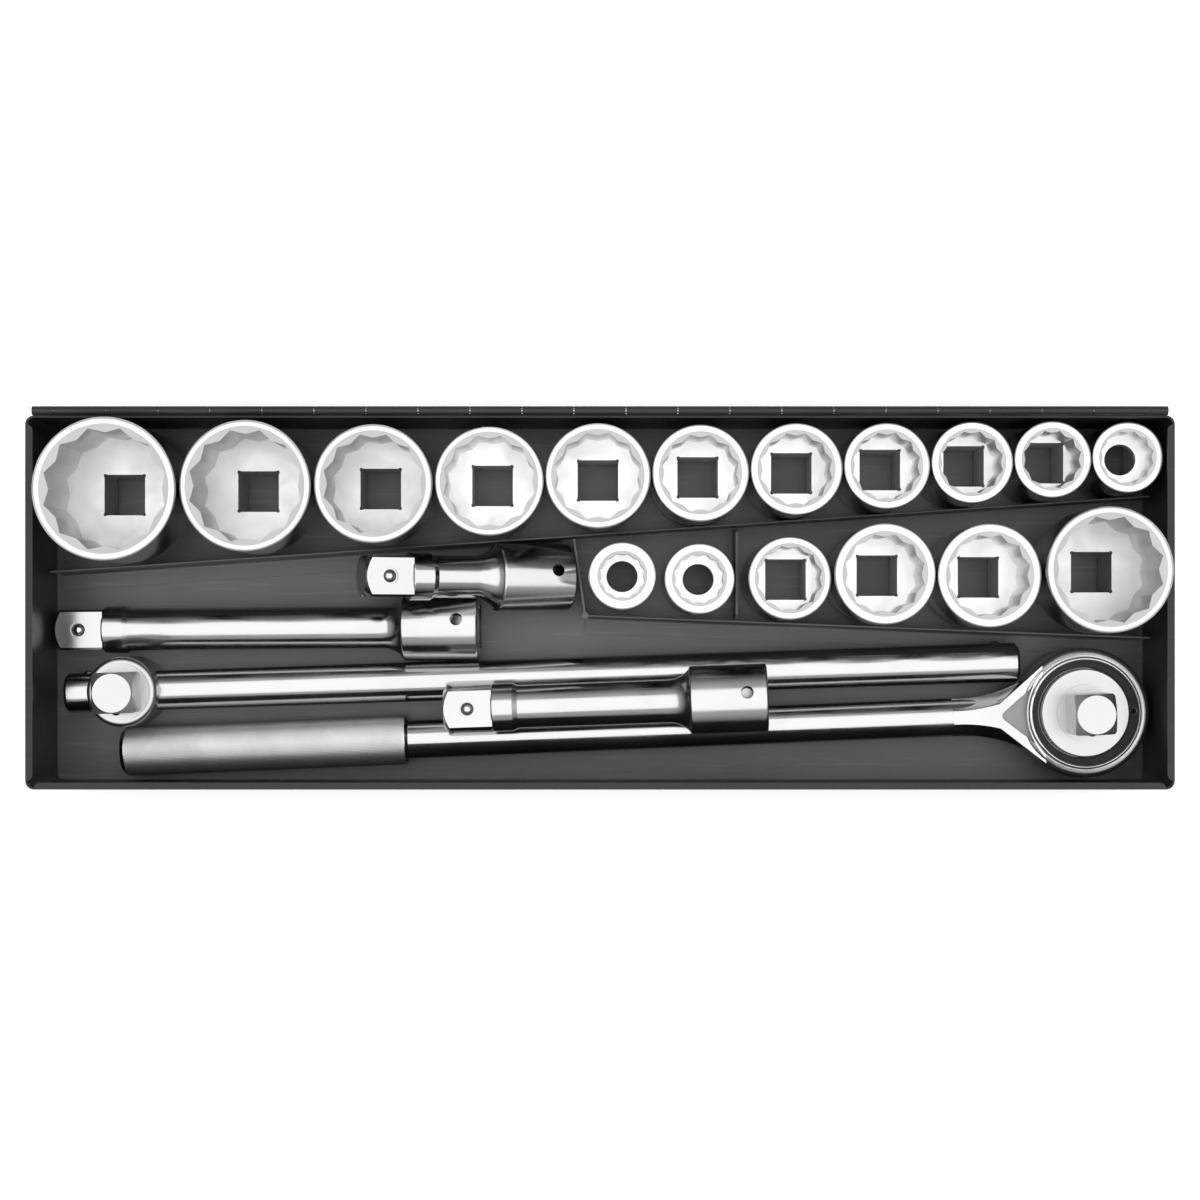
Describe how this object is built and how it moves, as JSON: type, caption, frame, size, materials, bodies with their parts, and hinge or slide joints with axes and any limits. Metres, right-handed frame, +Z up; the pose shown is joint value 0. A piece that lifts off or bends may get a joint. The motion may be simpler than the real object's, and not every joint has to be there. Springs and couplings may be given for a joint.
{
  "type": "socket wrench set",
  "caption": "Open steel tray case with bent dividers holding chrome twelve-point sockets in graded sizes, a ratchet, a sliding T handle and extension bars for a square drive.",
  "frame": {"origin": "middle of the overall plan of the case, on the underside of the tray floor", "axes": "+X along the case to the right, +Y to the back where the hinge strip runs, +Z up out of the tray"},
  "size_m": [0.531, 0.177, 0.0787],
  "materials": {
    "case_paint": "satin",
    "satin_chrome": "satin",
    "polished_chrome": "polished",
    "bare_steel": "polished",
    "spring_steel": "satin"
  },
  "bodies": {
    "case": {"case_floor": "case_paint", "case_front_wall": "case_paint", "case_back_wall": "case_paint", "case_left_wall": "case_paint", "case_right_wall": "case_paint", "rear_divider": "case_paint", "rear_flange": "case_paint", "front_divider": "case_paint", "front_flange": "case_paint", "front_divider_end": "case_paint", "cross_divider": "case_paint", "hinge_case_leaf": "case_paint", "hinge_pin": "bare_steel"},
    "lid_leaf": {"hinge_lid_leaf": "case_paint"},
    "ratchet": {"ratchet_body": "polished_chrome", "ratchet_ring": "spring_steel", "ratchet_plunger_spring": "spring_steel"},
    "ratchet_drive": {"ratchet_drive": "polished_chrome", "ratchet_ball_spring": "spring_steel"},
    "ratchet_ball": {"ratchet_ball": "bare_steel"},
    "ratchet_selector": {"ratchet_selector": "polished_chrome", "ratchet_pawl": "bare_steel"},
    "ratchet_plunger": {"ratchet_plunger": "bare_steel"},
    "t_handle": {"t_bar": "polished_chrome", "t_bar_spring_left": "spring_steel", "t_bar_spring_right": "spring_steel"},
    "t_head": {"t_head": "polished_chrome", "t_head_spring": "spring_steel"},
    "t_head_ball": {"t_head_ball": "bare_steel"},
    "t_bar_ball_left": {"t_bar_ball_left": "bare_steel"},
    "t_bar_ball_right": {"t_bar_ball_right": "bare_steel"},
    "extension_6in": {"extension_6in": "polished_chrome", "extension_6in_spring": "spring_steel"},
    "extension_6in_ball": {"extension_6in_ball": "bare_steel"},
    "extension_8in": {"extension_8in": "polished_chrome", "extension_8in_spring": "spring_steel"},
    "extension_8in_ball": {"extension_8in_ball": "bare_steel"},
    "extension_4in": {"extension_4in": "polished_chrome", "extension_4in_spring": "spring_steel"},
    "extension_4in_ball": {"extension_4in_ball": "bare_steel"},
    "socket_50mm": {"socket_50mm": "satin_chrome"},
    "socket_46mm": {"socket_46mm": "satin_chrome"},
    "socket_41mm": {"socket_41mm": "satin_chrome"},
    "socket_38mm": {"socket_38mm": "satin_chrome"},
    "socket_36mm": {"socket_36mm": "satin_chrome"},
    "socket_32mm": {"socket_32mm": "satin_chrome"},
    "socket_30mm": {"socket_30mm": "satin_chrome"},
    "socket_28mm": {"socket_28mm": "satin_chrome"},
    "socket_26mm": {"socket_26mm": "satin_chrome"},
    "socket_24mm": {"socket_24mm": "satin_chrome"},
    "socket_22mm": {"socket_22mm": "satin_chrome"},
    "socket_27mm": {"socket_27mm": "satin_chrome"},
    "socket_33mm": {"socket_33mm": "satin_chrome"},
    "socket_34mm": {"socket_34mm": "satin_chrome"},
    "socket_44mm": {"socket_44mm": "satin_chrome"},
    "socket_19mm": {"socket_19mm": "satin_chrome"},
    "socket_21mm": {"socket_21mm": "satin_chrome"}
  },
  "joints": [
    {"name": "lid_hinge", "type": "hinge", "parent": "case", "child": "lid_leaf", "pos_m": [0, 0.0864, 0.0602], "axis": [1, 0, 0], "range_deg": [0, 180]},
    {"name": "ratchet_lift", "type": "slide", "parent": "case", "child": "ratchet", "axis": [0, 0, 1], "range_m": [0, 0.12]},
    {"name": "ratchet_drive_turn", "type": "hinge", "parent": "ratchet", "child": "ratchet_drive", "pos_m": [0.23088, -0.05415, 0.0155], "axis": [-0.0052, -0.0002, 1], "continuous": true},
    {"name": "ratchet_ball_press", "type": "slide", "parent": "ratchet_drive", "child": "ratchet_ball", "axis": [-0.0413, 0.9991, 0], "range_m": [0, 0.0013], "stiffness_N_per_m": 300, "springref_m": -0.004, "deforming": ["ratchet_ball_spring"]},
    {"name": "ratchet_selector_turn", "type": "hinge", "parent": "ratchet", "child": "ratchet_selector", "pos_m": [0.19744, -0.05554, 0.00932], "axis": [-0.0052, -0.0002, 1], "range_deg": [-8, 8]},
    {"name": "ratchet_plunger_press", "type": "slide", "parent": "ratchet", "child": "ratchet_plunger", "axis": [-0.9991, -0.0413, -0.0052], "range_m": [0, 0.001], "stiffness_N_per_m": 300, "springref_m": -0.004, "deforming": ["ratchet_plunger_spring"]},
    {"name": "t_handle_lift", "type": "slide", "parent": "ratchet", "child": "t_handle", "axis": [0, 0, 1], "range_m": [0, 0.12]},
    {"name": "t_head_slide", "type": "slide", "parent": "t_handle", "child": "t_head", "axis": [0.9994, 0.0324, -0.0081], "range_m": [0, 0.06]},
    {"name": "t_head_ball_press", "type": "slide", "parent": "t_head", "child": "t_head_ball", "axis": [-0.0324, 0.9995, 0], "range_m": [0, 0.0013], "stiffness_N_per_m": 300, "springref_m": -0.004, "deforming": ["t_head_spring"]},
    {"name": "t_bar_ball_left_press", "type": "slide", "parent": "t_handle", "child": "t_bar_ball_left", "axis": [0.0324, -0.9995, 0], "range_m": [0, 0.0013], "stiffness_N_per_m": 300, "springref_m": -0.004, "deforming": ["t_bar_spring_left"]},
    {"name": "t_bar_ball_right_press", "type": "slide", "parent": "t_handle", "child": "t_bar_ball_right", "axis": [0.0324, -0.9995, 0], "range_m": [0, 0.0013], "stiffness_N_per_m": 300, "springref_m": -0.004, "deforming": ["t_bar_spring_right"]},
    {"name": "extension_6in_lift", "type": "slide", "parent": "t_handle", "child": "extension_6in", "axis": [0, 0, 1], "range_m": [0, 0.12]},
    {"name": "extension_6in_ball_press", "type": "slide", "parent": "extension_6in", "child": "extension_6in_ball", "axis": [0.034, 0.0013, -0.9994], "range_m": [0, 0.0013], "stiffness_N_per_m": 300, "springref_m": -0.004, "deforming": ["extension_6in_spring"]},
    {"name": "extension_8in_lift", "type": "slide", "parent": "case", "child": "extension_8in", "axis": [0, 0, 1], "range_m": [0, 0.12]},
    {"name": "extension_8in_ball_press", "type": "slide", "parent": "extension_8in", "child": "extension_8in_ball", "axis": [0.0337, 0.0003, -0.9994], "range_m": [0, 0.0013], "stiffness_N_per_m": 300, "springref_m": -0.004, "deforming": ["extension_8in_spring"]},
    {"name": "extension_4in_lift", "type": "slide", "parent": "extension_8in", "child": "extension_4in", "axis": [0, 0, 1], "range_m": [0, 0.12]},
    {"name": "extension_4in_ball_press", "type": "slide", "parent": "extension_4in", "child": "extension_4in_ball", "axis": [-0.3502, 0, -0.9367], "range_m": [0, 0.0013], "stiffness_N_per_m": 300, "springref_m": -0.004, "deforming": ["extension_4in_spring"]},
    {"name": "socket_50mm_lift", "type": "slide", "parent": "case", "child": "socket_50mm", "axis": [0, 0, 1], "range_m": [0, 0.12]},
    {"name": "socket_46mm_lift", "type": "slide", "parent": "case", "child": "socket_46mm", "axis": [0, 0, 1], "range_m": [0, 0.12]},
    {"name": "socket_41mm_lift", "type": "slide", "parent": "case", "child": "socket_41mm", "axis": [0, 0, 1], "range_m": [0, 0.12]},
    {"name": "socket_38mm_lift", "type": "slide", "parent": "case", "child": "socket_38mm", "axis": [0, 0, 1], "range_m": [0, 0.12]},
    {"name": "socket_36mm_lift", "type": "slide", "parent": "case", "child": "socket_36mm", "axis": [0, 0, 1], "range_m": [0, 0.12]},
    {"name": "socket_32mm_lift", "type": "slide", "parent": "case", "child": "socket_32mm", "axis": [0, 0, 1], "range_m": [0, 0.12]},
    {"name": "socket_30mm_lift", "type": "slide", "parent": "case", "child": "socket_30mm", "axis": [0, 0, 1], "range_m": [0, 0.12]},
    {"name": "socket_28mm_lift", "type": "slide", "parent": "case", "child": "socket_28mm", "axis": [0, 0, 1], "range_m": [0, 0.12]},
    {"name": "socket_26mm_lift", "type": "slide", "parent": "case", "child": "socket_26mm", "axis": [0, 0, 1], "range_m": [0, 0.12]},
    {"name": "socket_24mm_lift", "type": "slide", "parent": "case", "child": "socket_24mm", "axis": [0, 0, 1], "range_m": [0, 0.12]},
    {"name": "socket_22mm_lift", "type": "slide", "parent": "case", "child": "socket_22mm", "axis": [0, 0, 1], "range_m": [0, 0.12]},
    {"name": "socket_27mm_lift", "type": "slide", "parent": "case", "child": "socket_27mm", "axis": [0, 0, 1], "range_m": [0, 0.12]},
    {"name": "socket_33mm_lift", "type": "slide", "parent": "case", "child": "socket_33mm", "axis": [0, 0, 1], "range_m": [0, 0.12]},
    {"name": "socket_34mm_lift", "type": "slide", "parent": "case", "child": "socket_34mm", "axis": [0, 0, 1], "range_m": [0, 0.12]},
    {"name": "socket_44mm_lift", "type": "slide", "parent": "case", "child": "socket_44mm", "axis": [0, 0, 1], "range_m": [0, 0.12]},
    {"name": "socket_19mm_lift", "type": "slide", "parent": "case", "child": "socket_19mm", "axis": [0, 0, 1], "range_m": [0, 0.12]},
    {"name": "socket_21mm_lift", "type": "slide", "parent": "case", "child": "socket_21mm", "axis": [0, 0, 1], "range_m": [0, 0.12]}
  ]
}
